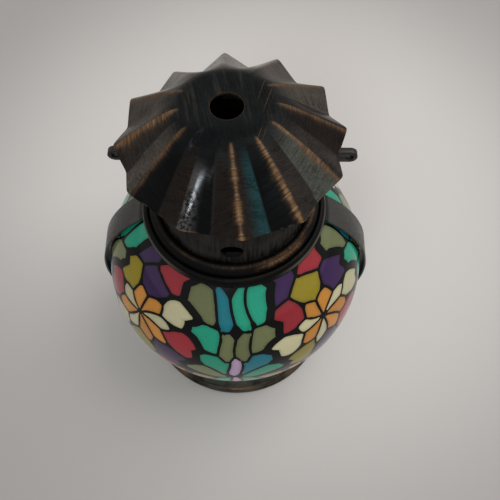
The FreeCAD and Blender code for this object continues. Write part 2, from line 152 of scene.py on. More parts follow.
class Nodes:
    """Short calls for building a node tree."""

    def __init__(self, tree):
        self.tree = tree

    def add(self, kind, **settings):
        node = self.tree.nodes.new(kind)
        for key, value in settings.items():
            setattr(node, key, value)
        return node

    def put(self, socket, value):
        """Join an output to a socket, or set the socket to a plain value or an opaque colour."""
        if isinstance(value, bpy.types.NodeSocket):
            self.tree.links.new(value, socket)
        elif value is not None:
            socket.default_value = (*value[:3], 1) if socket.type == "RGBA" else value

    def fill(self, node, *values):
        """Put values into a node's first sockets, and give its first output."""
        for socket, value in zip(node.inputs, values):
            self.put(socket, value)
        return node.outputs[0]

    def math(self, operation, a, b=None):
        return self.fill(self.add("ShaderNodeMath", operation=operation), a, b)

    def times(self, a, b):
        return self.math("MULTIPLY", a, b)

    def plus(self, a, b):
        return self.math("ADD", a, b)

    def minus(self, a, b):
        return self.math("SUBTRACT", a, b)

    def most(self, a, b):
        return self.math("MAXIMUM", a, b)

    def hypot(self, a, b):
        """The long side over two legs."""
        return self.math("SQRT", self.plus(self.times(a, a), self.times(b, b)))

    def vector(self, x, y, z):
        return self.fill(self.add("ShaderNodeCombineXYZ"), x, y, z)

    def fill_named(self, node, **values):
        """Put values into a node's named sockets, and give its outputs."""
        for name, value in values.items():
            self.put(node.inputs[name], value)
        return node.outputs

    def split(self, vector):
        return self.fill_named(self.add("ShaderNodeSeparateXYZ"), Vector=vector)[:]

    def scaled(self, vector, scale):
        return self.fill(self.add("ShaderNodeVectorMath", operation="MULTIPLY"), vector, scale)

    def noise(self, vector, scale, detail=3, roughness=0.55):
        node = self.add("ShaderNodeTexNoise")
        return self.fill_named(node, Vector=vector, Scale=scale, Detail=detail, Roughness=roughness)["Fac"]

    def ramp(self, value, low, high, to_low=0, to_high=1):
        node = self.add("ShaderNodeMapRange", interpolation_type="SMOOTHSTEP")
        return self.fill(node, value, low, high, to_low, to_high)

    def mix(self, factor, a, b, blend="MIX"):
        """Mix two colours, which the node has in sockets 6 and 7."""
        node = self.add("ShaderNodeMix", data_type="RGBA", blend_type=blend)
        self.put(node.inputs[0], factor)
        self.put(node.inputs[6], a)
        self.put(node.inputs[7], b)
        return node.outputs[2]

    def blend(self, factor, a, b):
        """Mix two numbers, which the node has in sockets 2 and 3."""
        node = self.add("ShaderNodeMix", data_type="FLOAT")
        self.put(node.inputs[0], factor)
        self.put(node.inputs[2], a)
        self.put(node.inputs[3], b)
        return node.outputs[0]

    def attribute(self, name, output="Fac"):
        return self.add("ShaderNodeAttribute", attribute_name=name).outputs[output]

    def place(self):
        return self.add("ShaderNodeTexCoord").outputs["Object"]

    def place_mm(self):
        """Object coordinates in millimetres."""
        return self.scaled(self.place(), (1000, 1000, 1000))

    def bump(self, height, strength, distance):
        node = self.add("ShaderNodeBump")
        return self.fill_named(node, Height=height, Strength=strength, Distance=distance)["Normal"]

    def group(self, tree, **values):
        return self.fill_named(self.add("ShaderNodeGroup", node_tree=tree), **values)


def new_group(name, inputs, outputs):
    """An empty shader node group with the named sockets."""
    tree = bpy.data.node_groups.new(name, "ShaderNodeTree")
    for label, kind in inputs:
        tree.interface.new_socket(label, in_out="INPUT", socket_type=kind)
    for label, kind in outputs:
        tree.interface.new_socket(label, in_out="OUTPUT", socket_type=kind)
    nodes = Nodes(tree)
    return tree, nodes, nodes.add("NodeGroupInput").outputs, nodes.add("NodeGroupOutput").inputs


def brushed_group():
    """Fine brush lines and broad clouds, each from 0 to 1."""
    name = "brush lines"
    if name in bpy.data.node_groups:
        return bpy.data.node_groups[name]
    tree, nodes, given, out = new_group(
        name,
        [("Vector", "NodeSocketVector"), ("Fine", "NodeSocketFloat")],
        [("Lines", "NodeSocketFloat"), ("Clouds", "NodeSocketFloat")],
    )
    lines = nodes.noise(given["Vector"], given["Fine"], 4, 0.6)
    clouds = nodes.noise(given["Vector"], nodes.times(given["Fine"], 0.11), 2, 0.5)
    nodes.put(out["Lines"], nodes.ramp(lines, 0.38, 0.64))
    nodes.put(out["Clouds"], nodes.ramp(clouds, 0.35, 0.65))
    return tree


def rubbed_group():
    """Where the black is rubbed back: a ragged band along an edge, uneven in width."""
    name = "rubbed edge"
    if name in bpy.data.node_groups:
        return bpy.data.node_groups[name]
    labels = ("Distance", "Along", "Width", "Seed")
    tree, nodes, given, out = new_group(
        name, [(label, "NodeSocketFloat") for label in labels], [("Mask", "NodeSocketFloat")]
    )
    distance, along, width, seed = [given[label] for label in labels]
    hairs = nodes.vector(nodes.times(along, 3.2), nodes.times(distance, 0.24), seed)
    hairs = nodes.noise(hairs, 1, 5, 0.68)
    patch = nodes.noise(nodes.vector(nodes.times(along, 0.16), 0, seed), 1, 2, 0.5)
    reach = nodes.times(width, nodes.ramp(hairs, 0.2, 0.85, 0.3, 1.4))
    reach = nodes.times(reach, nodes.ramp(patch, 0.34, 0.62, 0.45, 1.05))
    tail = nodes.ramp(nodes.minus(reach, distance), -0.9, 2.4, 0, 0.75)
    core = nodes.ramp(nodes.minus(nodes.times(reach, 0.62), distance), -0.6, 0.5)
    nodes.put(out["Mask"], nodes.times(nodes.most(tail, core), nodes.ramp(width, 0.05, 0.6)))
    return tree


def new_material(name):
    material = bpy.data.materials.new(name)
    material.use_nodes = True
    material.node_tree.nodes.clear()
    nodes = Nodes(material.node_tree)
    shader = nodes.add("ShaderNodeBsdfPrincipled")
    output = nodes.add("ShaderNodeOutputMaterial")
    nodes.put(output.inputs["Surface"], shader.outputs[0])
    return material, nodes, shader.inputs


def cap_faces(nodes, colours, place, reach, drawn, lines):
    """The black sheet with each flank's painted light and shade: cloudy, brushed and speckled, with hair
    lines behind the crown's hole, and darker towards the crown's front.
    """
    y = nodes.split(place)[1]
    face = nodes.attribute("finish", "Color")
    clouds = nodes.ramp(nodes.noise(place, 0.16, 4, 0.6), 0.36, 0.66, 0, 0.6)
    speckle = nodes.ramp(nodes.noise(place, 1.5, 4, 0.7), 0.46, 0.66, 0, 0.6)
    paler = nodes.mix(1, face, (1.9, 1.85, 1.8), "MULTIPLY")
    dark = nodes.mix(clouds, face, colours.black)
    dark = nodes.mix(nodes.times(lines, 0.42), dark, paler)
    dark = nodes.mix(speckle, dark, paler)
    flat = nodes.ramp(reach, 3, -1.5)
    hairs = nodes.ramp(nodes.noise(drawn, 0.85, 5, 0.7), 0.5, 0.72, 0, 0.5)
    hairs = nodes.times(hairs, nodes.ramp(y, -10, -4))
    dark = nodes.mix(nodes.times(hairs, flat), dark, colours.taupe)
    front = nodes.ramp(y, -3, -10, 0, 0.55)
    return nodes.mix(nodes.times(front, flat), dark, colours.black)


def cap_wear(nodes, place, reach, ridge, pleat):
    """Where the black is gone: on the ridges, in scratches on the crown, round its hole and on the hem."""
    x, y = nodes.split(place)[:2]
    rub = nodes.attribute("rub")
    worn = nodes.group(rubbed_group(), Distance=ridge, Along=reach, Width=rub, Seed=pleat)["Mask"]
    ruled = nodes.vector(nodes.plus(x, nodes.times(y, -0.3)), nodes.times(y, 0.02), 4)
    scratch = nodes.ramp(nodes.noise(ruled, 1.7, 2, 0.5), 0.63, 0.69, 0, 0.6)
    scratch = nodes.times(scratch, nodes.ramp(x, 6, 9))
    scratch = nodes.times(scratch, nodes.ramp(reach, 2, -1))
    hole = nodes.ramp(reach, -8.75, -8.95, 0, 0.3)
    patchy = nodes.ramp(nodes.noise(place, 0.22, 3, 0.6), 0.48, 0.66, 0, 0.6)
    hem = nodes.times(nodes.ramp(nodes.attribute("hem"), 0.4, 0.05), patchy)
    for mask in (scratch, hole, hem):
        worn = nodes.most(worn, mask)
    return worn


def cap_metal(nodes, colours, combed, lines):
    """The metal under the black: copper and tan, dull in the brush lines, rusty where it isn't warm."""
    pale = nodes.ramp(nodes.noise(combed, 0.9, 4, 0.7), 0.4, 0.7)
    metal = nodes.mix(pale, colours.copper, colours.tan)
    metal = nodes.mix(nodes.times(lines, 0.7), metal, colours.brown)
    return nodes.mix(nodes.attribute("warm"), colours.rust, metal)


def cap_material(colours):
    """Antiqued black sheet whose flanks carry painted light and shade, rubbed back to copper and tan along
    the ridges.
    """
    material, nodes, shader = new_material("antiqued cap")
    ridge = nodes.attribute("ridge")
    reach = nodes.attribute("reach")
    pleat = nodes.attribute("pleat")
    place = nodes.place_mm()
    x, y = nodes.split(place)[:2]
    drawn = nodes.vector(nodes.plus(x, nodes.times(y, 0.2)), nodes.times(y, 0.07), 11)
    combed = nodes.vector(reach, nodes.times(ridge, 0.07), pleat)
    combed = nodes.mix(nodes.ramp(reach, -1.5, 0.5), drawn, combed)
    lines = nodes.group(brushed_group(), Vector=combed, Fine=2.2)["Lines"]
    dark = cap_faces(nodes, colours, place, reach, drawn, lines)
    worn = cap_wear(nodes, place, reach, ridge, pleat)
    metal = cap_metal(nodes, colours, combed, lines)
    nodes.put(shader["Base Color"], nodes.mix(worn, dark, metal))
    nodes.put(shader["Metallic"], nodes.times(worn, 0.45))
    nodes.put(shader["Roughness"], nodes.blend(worn, nodes.blend(lines, 0.2, 0.34), 0.45))
    speckle = nodes.ramp(nodes.noise(place, 1.1, 4, 0.65), 0.4, 0.6, 0.08, 1)
    speckle = nodes.most(speckle, nodes.ramp(reach, 12.5, 9.5, 0, 0.75))
    nodes.put(shader["Coat Weight"], nodes.times(nodes.attribute("gloss"), speckle))
    shader["Coat Roughness"].default_value = 0.16
    shader["Coat IOR"].default_value = 1.9
    nodes.put(shader["Normal"], nodes.bump(lines, 0.15, 0.06 * MM))
    shader["Specular IOR Level"].default_value = 0.06
    return material


def turned_material(name, colours, pale, crests, shade=0, gleam=None):
    """Dark turned metal, rubbed on crests (radius, height, width, and a place in x or 0), in mm; on the
    collar and the foot some rubbed bands are also painted highlights.

    With a shade, it is blacker outside that radius, with upright brush lines. The gleam is the radius and
    height of an edge that shines grey at the sides.
    """
    material, nodes, shader = new_material(name)
    place = nodes.place_mm()
    x, y, z = nodes.split(place)
    radius = nodes.hypot(x, y)
    angle = nodes.math("ARCTAN2", y, x)

    def away_from(ring, height):
        return nodes.hypot(nodes.minus(radius, ring), nodes.minus(z, height))

    if shade:
        grain = nodes.scaled(place, (1, 1, 0.06))
    else:
        east = nodes.times(nodes.math("SINE", angle), 2.2)
        north = nodes.times(nodes.math("COSINE", angle), 2.2)
        grain = nodes.vector(east, north, nodes.plus(z, radius))
    lines = nodes.group(brushed_group(), Vector=grain, Fine=1.5)["Lines"]
    clouds = nodes.ramp(nodes.noise(place, 0.1, 3, 0.5), 0.35, 0.75, 0, 0.7)
    dark = nodes.mix(clouds, colours.black, pale)
    dark = nodes.mix(nodes.times(lines, 0.7), dark, pale)
    if shade:
        dark = nodes.mix(nodes.ramp(radius, shade, shade + 0.6, 0, 0.9), dark, colours.black)
    if gleam:
        edge = nodes.ramp(away_from(*gleam), 1.1, 0.5)
        sides = nodes.ramp(nodes.math("ABSOLUTE", x), 13, 24)
        dark = nodes.mix(nodes.times(edge, sides), dark, colours.stone)
    worn = 0
    patch = nodes.ramp(nodes.noise(place, 0.05, 2, 0.5), 0.45, 0.62, 0.12, 0.7)
    for number, (ring, height, width, side) in enumerate(crests):
        band = nodes.group(
            rubbed_group(), Distance=away_from(ring, height), Along=nodes.times(angle, ring),
            Width=width, Seed=3.7 * number + 1.3,
        )
        apart = nodes.math("ABSOLUTE", nodes.minus(x, side))
        share = nodes.ramp(apart, 10, 4, 0, 0.8) if side else patch
        worn = nodes.most(worn, nodes.times(band["Mask"], share))
    metal = nodes.mix(nodes.times(lines, 0.6), colours.copper, colours.brown)
    nodes.put(shader["Base Color"], nodes.mix(worn, dark, metal))
    nodes.put(shader["Metallic"], nodes.times(worn, 0.5))
    nodes.put(shader["Roughness"], nodes.blend(lines, 0.3, 0.46))
    nodes.put(shader["Normal"], nodes.bump(lines, 0.3, 0.1 * MM))
    shader["Specular IOR Level"].default_value = 0.07
    return material


def sheet_material(name, colour, shade, metallic, stretch, roughness, shadow_radius=0):
    """Plain drawn sheet with brush lines and faint clouds of a darker shade, with a painted shadow that turns
    it black inside a radius.
    """
    material, nodes, shader = new_material(name)
    brush = nodes.group(brushed_group(), Vector=nodes.scaled(nodes.place(), stretch), Fine=1)
    tone = nodes.mix(nodes.times(brush["Lines"], 0.35), colour, shade)
    tone = nodes.mix(nodes.times(brush["Clouds"], 0.4), tone, shade)
    # Painted shadow: black where the strap runs in under the collar's skirt.
    if shadow_radius:
        x, y = nodes.split(nodes.place())[:2]
        shadowed = nodes.ramp(nodes.hypot(x, y), shadow_radius, shadow_radius - 0.8 * MM)
        tone = nodes.mix(shadowed, tone, (0.001, 0.001, 0.001))
    nodes.put(shader["Base Color"], tone)
    shader["Metallic"].default_value = metallic
    nodes.put(shader["Roughness"], nodes.blend(brush["Lines"], roughness - 0.06, roughness + 0.08))
    nodes.put(shader["Normal"], nodes.bump(brush["Lines"], 0.2, 0.08 * MM))
    return material


def pane_material(colours, lead_width):
    """Glossy coloured panes between dark lines, from the attributes drawn on the globe."""
    material, nodes, shader = new_material("printed glass")
    pane = nodes.attribute("pane", "Color")
    place = nodes.place_mm()
    wobble = nodes.times(nodes.minus(nodes.noise(place, 0.45, 2), 0.5), 0.35)
    inset = nodes.minus(nodes.plus(nodes.attribute("lead"), wobble), lead_width / MM / 2)
    mottle = nodes.noise(place, 0.9, 4, 0.6)
    duller = nodes.mix(1, pane, (0.6, 0.6, 0.6), "MULTIPLY")
    tone = nodes.mix(nodes.ramp(mottle, 0.3, 0.7, 0, 0.16), pane, duller)
    darker = nodes.mix(1, tone, (0.45, 0.47, 0.45), "MULTIPLY")
    tone = nodes.mix(nodes.ramp(inset, 0, 1.4, 0.42, 0), tone, darker)
    nodes.put(shader["Base Color"], nodes.mix(nodes.ramp(inset, -0.07, 0.07), colours.lead, tone))
    nodes.put(shader["Roughness"], nodes.ramp(mottle, 0.3, 0.7, 0.16, 0.22))
    shader["Specular IOR Level"].default_value = 0.1
    nodes.put(shader["Coat Weight"], nodes.ramp(inset, -0.1, 0.1, 0.04, 0.32))
    shader["Coat Roughness"].default_value = 0.05
    return material


def new_object(name, data):
    item = bpy.data.objects.new(name, data)
    bpy.context.scene.collection.objects.link(item)
    return item


def mesh_object(name, bm):
    """A linked object that takes over a bmesh."""
    mesh = bpy.data.meshes.new(name)
    bm.to_mesh(mesh)
    bm.free()
    return new_object(name, mesh)


def aimed_object(name, data, spot, forward):
    """A linked lamp or camera at a spot, turned to look forward."""
    item = new_object(name, data)
    item.location = spot
    item.rotation_mode = "QUATERNION"
    item.rotation_quaternion = forward.to_track_quat("-Z", "Y")
    return item


def finish_piece(name, bm, material, body, nodes):
    """Turn a bmesh into a named piece that rides on a body and stands for its construction nodes."""
    piece = mesh_object(name, bm)
    mesh = piece.data
    mesh.polygons.foreach_set("use_smooth", [True] * len(mesh.polygons))
    mesh.set_sharp_from_angle(angle=SHARP)
    mesh.materials.append(material)
    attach(piece, body)
    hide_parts(*nodes)
    return piece


def dress_node(node, material):
    """Give a construction node that stays in view its finish."""
    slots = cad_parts[node].data.materials
    slots.clear()
    slots.append(material)


def softened_copy(node, offset):
    """A merged copy of a node's mesh with its sharp edges rounded."""
    bm = bmesh.new()
    bm.from_mesh(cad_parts[node].data)
    bmesh.ops.remove_doubles(bm, verts=bm.verts[:], dist=TINY)
    bmesh.ops.dissolve_limit(
        bm, angle_limit=math.radians(0.5), verts=bm.verts[:], edges=bm.edges[:],
        use_dissolve_boundaries=False,
    )
    steep = math.radians(50)
    sharp = [edge for edge in bm.edges if len(edge.link_faces) == 2 and edge.calc_face_angle() > steep]
    bmesh.ops.bevel(
        bm, geom=sharp, offset=offset, offset_type="OFFSET", affect="EDGES", segments=2, profile=0.5,
        material=-1, clamp_overlap=True,
    )
    return bm


def full_turn(bm, steps):
    """Spin everything in a bmesh once round the lantern's axis and close the seam."""
    bmesh.ops.spin(
        bm, geom=bm.verts[:] + bm.edges[:], cent=(0, 0, 0), axis=(0, 0, 1), angle=math.tau, steps=steps,
        use_merge=True,
    )
    bmesh.ops.remove_doubles(bm, verts=bm.verts[:], dist=TINY)
    bmesh.ops.recalc_face_normals(bm, faces=bm.faces[:])


def lathe(profile, rounds):
    """Turn a closed profile of (radius, height) corners in mm; rounds give a corner's radius and segments."""
    bm = bmesh.new()
    corners = [bm.verts.new((radius * MM, 0, height * MM)) for radius, height in profile]
    for start, stop in zip(corners, corners[1:] + corners[:1]):
        bm.edges.new((start, stop))
    for index, (radius, segments) in rounds.items():
        bmesh.ops.bevel(
            bm, geom=[corners[index]], offset=radius * MM, offset_type="OFFSET", affect="VERTICES",
            segments=segments, profile=0.5, material=-1,
        )
    full_turn(bm, LATHE_STEPS)
    return bm


def smooth(bm, verts, rounds, factor=0.5):
    """Draw points towards their neighbours, a number of times."""
    for _ in range(rounds):
        bmesh.ops.smooth_vert(
            bm, verts=verts, factor=factor, use_axis_x=True, use_axis_y=True, use_axis_z=True
        )


class LANTERN_OT_cap(bpy.types.Operator):
    """Fold the pleated cap"""

    bl_idname = "lantern.cap"
    bl_label = "Pleated Cap"

    # Each table runs by pleat, from the right-hand side round by the back.
    # The faces table paints each flank's light and shade into its colour: the paler flanks are painted sheen
    # where they catch and mirror the lamps and room, the back ones a painted reflection of the light behind,
    # the black ones painted dark.
    faces = (
        ("brown", "brown"), ("taupe", "taupe"), ("taupe", "back_sheen"), ("back_sheen", "back_sheen"),
        ("back_sheen", "back_sheen"), ("back_sheen", "taupe"), ("taupe", "ash"), ("taupe", "black"),
        ("brown", "black"), ("brown", "teal_flank"), ("black", "ash"), ("moss", "ash"),
    )
    rubs = (0.85, 1.1, 0.4, 0.3, 0.5, 1.4, 1.8, 1.4, 0, 1.45, 1.1, 1.4)
    warmth = (0.65, 0.7, 0.7, 0.7, 0.7, 0.7, 0.9, 0.35, 0.5, 0.8, 1, 0.75)
    # Each fold's stray from its even place: a turn in degrees and a reach in mm.
    bent = (
        (0.8, -0.2), (-0.2, -0.2), (0.3, -0.5), (-0.7, -1.4), (-0.4, -3.4), (-0.8, -0.2),
        (-0.7, 0.4), (-2.4, 0.5), (1, 0), (0.3, 0.3), (1, 0.6), (1.9, 0.1),
    )
    # What is left of the wear at the tip, and the lacquer, on the pleats that differ.
    fades = {7: 0.2, 1: 0.5, 9: 1.5, 10: 1.8}
    lacquer = {8: 0.85, 2: 0.6, 3: 0.7, 4: 0.6}
    bare_lacquer = 0.02
    broad_pleat = 8
    first_rounds = 2
    ridge_rounds = 3
    broad_rounds = 90
    edge_rounds = 8
    hem_rounds = 3
    hem_factor = 0.35
    cuts = 11
    dish = 0.5 * MM
    lean = Vector((-1.2 * MM, 0, 0))
    widen = 0.09

    def fold(self, sizes, vert):
        """Where a point lies: from 0 on a ridge to 1 in a valley, and in half pleats round the cap."""
        steps = (math.atan2(vert.co.y, vert.co.x) - sizes.pleat_turn) / (math.pi / sizes.pleats)
        return abs((steps + 1) % 2 - 1), steps

    def pleat_of(self, sizes, steps):
        """The number of the pleat at a place in half pleats."""
        return round(steps / 2) % sizes.pleats

    def bend_at(self, steps):
        """How a fold strays from its even place: an angle, and a reach in mm."""
        before = self.bent[math.floor(steps / 2 + 0.01) % len(self.bent)]
        after = self.bent[math.ceil(steps / 2 - 0.01) % len(self.bent)]
        return math.radians((before[0] + after[0]) / 2), (before[1] + after[1]) / 2

    def execute(self, context):
        sizes = context.scene.lantern_sizes
        colours = context.scene.lantern_colours
        bm = self.star(sizes)
        bmesh.ops.subdivide_edges(bm, edges=bm.edges[:], cuts=self.cuts, use_grid_fill=True)
        self.settle(bm, sizes)
        self.round_hole(bm, sizes)
        bmesh.ops.recalc_face_normals(bm, faces=bm.faces[:])
        if sum(face.normal.z for face in bm.faces) < 0:
            bmesh.ops.reverse_faces(bm, faces=bm.faces[:])
        self.mark(bm, sizes, colours)
        self.shift_crown(bm, sizes)
        bmesh.ops.solidify(bm, geom=bm.faces[:], thickness=sizes.cap_sheet)
        bmesh.ops.recalc_face_normals(bm, faces=bm.faces[:])
        material = cap_material(colours)
        finish_piece("pleated_cap_sheet", bm, material, "cap", ["pleated_cap"])
        return {"FINISHED"}

    def star(self, sizes):
        """The plain folded sheet: the crown's edge, a star of ridges and valleys, and the hole."""
        draw = random.Random(5)
        bm = bmesh.new()
        crown = bmesh.ops.create_circle(bm, segments=2 * sizes.pleats, radius=sizes.crown_radius)["verts"]
        start = math.atan2(crown[0].co.y, crown[0].co.x)
        turn = Matrix.Rotation(sizes.pleat_turn - start, 3, "Z")
        bmesh.ops.rotate(bm, verts=crown, cent=(0, 0, 0), matrix=turn)
        bmesh.ops.translate(bm, verts=crown, vec=(0, 0, sizes.crown_height))
        crown_edges = bm.edges[:]
        for vert in self.extrude(bm, crown_edges):
            across, steps = self.fold(sizes, vert)
            ridge = across < 0.5
            reach = sizes.ridge_reach if ridge else sizes.valley_reach
            drop = sizes.ridge_drop if ridge else sizes.valley_drop
            angle, stretch = self.bend_at(steps)
            spread = (sizes.crown_radius + reach + stretch * MM) / sizes.crown_radius
            vert.co.x *= spread
            vert.co.y *= spread
            vert.co.z -= drop * draw.uniform(0.97, 1.02)
            bmesh.ops.rotate(bm, verts=[vert], cent=(0, 0, 0), matrix=Matrix.Rotation(angle, 3, "Z"))
        for vert in self.extrude(bm, crown_edges):
            vert.co.x *= sizes.crown_hole / sizes.crown_radius
            vert.co.y *= sizes.crown_hole / sizes.crown_radius
        return bm

    def extrude(self, bm, edges):
        """Extrude edges on the spot, and give the new points."""
        grown = bmesh.ops.extrude_edge_only(bm, edges=edges)["geom"]
        return [item for item in grown if isinstance(item, bmesh.types.BMVert)]

    def settle(self, bm, sizes):
        """Let the folds, the crown's edge and the hem round off as bent sheet does."""
        inner = sizes.crown_radius * 0.72
        loose = [vert for vert in bm.verts if vert.co.xy.length > inner and not vert.is_boundary]
        smooth(bm, loose, self.first_rounds)
        for _ in range(self.ridge_rounds):
            smooth(bm, [vert for vert in loose if self.fold(sizes, vert)[0] < 0.5], 1)
        broad = []
        for vert in loose:
            across, steps = self.fold(sizes, vert)
            if self.pleat_of(sizes, steps) == self.broad_pleat and across < 0.85:
                broad.append(vert)
        smooth(bm, broad, self.broad_rounds)
        edge = [vert for vert in loose if vert.co.xy.length < sizes.crown_radius * 1.3]
        smooth(bm, edge, self.edge_rounds)
        hem = [vert for vert in bm.verts if vert.is_boundary and vert.co.xy.length > inner]
        smooth(bm, hem, self.hem_rounds, self.hem_factor)

    def round_hole(self, bm, sizes):
        """Make the crown's hole truly round and dish the crown a little."""
        for vert in bm.verts:
            radius = vert.co.xy.length
            if vert.is_boundary and radius < sizes.crown_radius * 0.6:
                vert.co.x *= sizes.crown_hole / radius
                vert.co.y *= sizes.crown_hole / radius
            if radius < sizes.crown_radius:
                vert.co.z -= self.dish * (1 - (radius / sizes.crown_radius) ** 2)

    def shift_crown(self, bm, sizes):
        """Lean the crown to one side and widen it, less and less towards the tips."""
        for vert in bm.verts:
            radius = vert.co.xy.length
            near = clamp(1 - (radius - sizes.crown_radius) / sizes.ridge_reach)
            vert.co.x *= 1 + self.widen * near * min(1, radius / sizes.crown_radius) ** 3
            vert.co += self.lean * near

    def mark(self, bm, sizes, colours):
        """Write what the finish follows: distance from the ridge, place along it, wear, and each flank's
        colour with its painted light and shade.
        """
        names = ("ridge", "reach", "pleat", "rub", "gloss", "warm", "hem")
        layers = {name: bm.verts.layers.float.new(name) for name in names}
        finish = bm.verts.layers.float_color.new("finish")
        for vert in bm.verts:
            across, steps = self.fold(sizes, vert)
            radius = vert.co.xy.length
            out = radius / sizes.crown_radius
            pleat = self.pleat_of(sizes, steps)
            rising = steps / 2 > round(steps / 2)
            sideways = vert.co.x / radius * (-1 if rising else 1)
            share = clamp((radius - sizes.crown_radius) / sizes.ridge_reach)
            kept = 1 - share * (1 - self.fades.get(pleat, 1))
            gap = across * radius * math.pi / sizes.pleats / MM
            shine = clamp(1.5 - (2.7 if rising else 14) * across)
            values = {
                "ridge": gap * (1 - (0.45 if sideways > 0 else 1.4) * sideways),
                "reach": (radius - sizes.crown_radius) / MM,
                "pleat": 7.3 * pleat + 20,
                "rub": self.rubs[pleat] * fade(out, 0.9, 1.1) * kept,
                "gloss": self.lacquer.get(pleat, self.bare_lacquer) * fade(out, 1.25, 1.55) * shine,
                "warm": self.warmth[pleat],
                "hem": 0 if vert.is_boundary and out > 1 else 1,
            }
            for name, layer in layers.items():
                vert[layer] = values[name]
            vert[finish] = self.tone(colours, self.faces[pleat][1 if rising else 0], across, out)

    def tone(self, colours, name, across, out):
        """A flank's colour with its painted light and shade, which fades in from the crown's and, where it is
        the blue-green flank, across the flank.
        """
        tone = Vector(getattr(colours, name))
        if name == "teal_flank":
            tone = Vector(colours.brown).lerp(tone * 1.25, clamp(2.2 * across - 0.65))
        return (*Vector(colours.slate).lerp(tone, fade(out, 0.98, 1.48)), 1)


class LANTERN_OT_collar(bpy.types.Operator):
    """Turn the collar with its beads and drill its vents"""

    bl_idname = "lantern.collar"
    bl_label = "Collar"

    # Radii and heights in mm.
    wall = 25.6
    sheet = 0.8
    skirt = 32.5
    vent = 3.8
    vent_height = 111.3
    rod = 80

    def execute(self, context):
        colours = context.scene.lantern_colours
        top = COLLAR_HIGH.z / MM
        low = COLLAR_LOW.z / MM
        profile = [
            (self.wall - self.sheet, top),
            (self.wall - self.sheet, low + 5.2),
            (self.skirt - 0.9, low),
            (self.skirt, low),
            (self.skirt, low + 1.4),
            (31.6, low + 3.5),
            (30.5, low + 3.5),
            (30, low + 2.7),
            (29.7, low + 5.6),
            (26.9, low + 7.4),
            (26, low + 5.6),
            (self.wall, low + 6.2),
            (self.wall, top),
        ]
        # By corner: the skirt's edge, two of the bead, two of the moulding and two of the rim.
        rounds = {
            4: (0.5, 3), 5: (0.9, 5), 6: (0.45, 4), 8: (1.7, 6), 9: (1.2, 6), 12: (0.25, 2), 0: (0.25, 2),
        }
        bm = lathe(profile, rounds)
        # The moulding and bead are rubbed to copper. The streak on the right side is rubbed metal that is
        # also a painted highlight from the light on that side.
        moulding = (28.4, low + 6.8, 0.9, 0)
        streak = (29.3, low + 5.9, 1.7, 16.5)
        bead = (31.1, low + 3.4, 0.2, 0)
        gleam = (self.skirt - 0.1, low + 1.4)
        pale = scaled_tint(colours.ash, 1.5)
        material = turned_material(
            "antiqued collar", colours, pale, [moulding, streak, bead], self.wall + 0.3, gleam
        )
        piece = finish_piece("collar_shell", bm, material, "lantern", ["collar"])
        self.drill(piece)
        return {"FINISHED"}

    def drill(self, piece):
        """Cut the vents with two crossed rods, then keep only the cut mesh."""
        bm = bmesh.new()
        for axis in ("X", "Y"):
            lean = Matrix.Rotation(math.pi / 2, 4, axis)
            spot = Matrix.Translation((0, 0, self.vent_height * MM)) @ lean
            bmesh.ops.create_cone(
                bm, cap_ends=True, segments=48, radius1=self.vent * MM, radius2=self.vent * MM,
                depth=self.rod * MM, matrix=spot,
            )
        rods = mesh_object("vent_rods", bm)
        cut = piece.modifiers.new("vents", "BOOLEAN")
        cut.object = rods
        cut.operation = "DIFFERENCE"
        cut.solver = "EXACT"
        cut.use_self = True
        shaped = piece.evaluated_get(bpy.context.evaluated_depsgraph_get())
        kept = bpy.data.meshes.new_from_object(shaped)
        piece.modifiers.clear()
        piece.data = kept
        kept.set_sharp_from_angle(angle=SHARP)
        bpy.data.objects.remove(rods)


class LANTERN_OT_globe(bpy.types.Operator):
    """Blow the glass ball and draw its panes"""

    bl_idname = "lantern.globe"
    bl_label = "Glass Globe"

    rows = 168
    inner_rows = 14
    columns = 480

    def execute(self, context):
        sizes = context.scene.lantern_sizes
        colours = context.scene.lantern_colours
        bm = self.ball(sizes)
        material = pane_material(colours, sizes.lead_width)
        piece = finish_piece("painted_globe", bm, material, "lantern", ["glass_globe"])
        PaneLayout(sizes, colours).draw(piece.data)
        return {"FINISHED"}

    def ball(self, sizes):
        """Spin the wall of the ball: outer arc, mouth edge, inner arc and lower edge."""
        bm = bmesh.new()
        outer = sizes.globe_radius
        inner = sizes.globe_radius - sizes.globe_wall
        low = math.asin(sizes.globe_opening / outer)
        high = math.asin(sizes.globe_mouth / outer)
        inner_high = math.asin(sizes.globe_mouth / inner)
        inner_low = math.asin(sizes.globe_opening / inner)
        middle = Vector((0, 0, sizes.globe_middle))
        arcs = (
            (outer, low - math.pi / 2, math.pi / 2 - high, self.rows),
            (inner, math.pi / 2 - inner_high, inner_low - math.pi / 2, self.inner_rows),
        )
        ends = []
        for radius, start, stop, steps in arcs:
            spot = middle + Vector((math.cos(start), 0, math.sin(start))) * radius
            vert = bm.verts.new(spot)
            swept = bmesh.ops.spin(
                bm, geom=[vert], cent=middle, axis=(0, -1, 0), angle=stop - start, steps=steps
            )["geom_last"]
            ends.append((vert, [item for item in swept if isinstance(item, bmesh.types.BMVert)][0]))
        bm.edges.new((ends[0][1], ends[1][0]))
        bm.edges.new((ends[1][1], ends[0][0]))
        full_turn(bm, self.columns)
        return bm


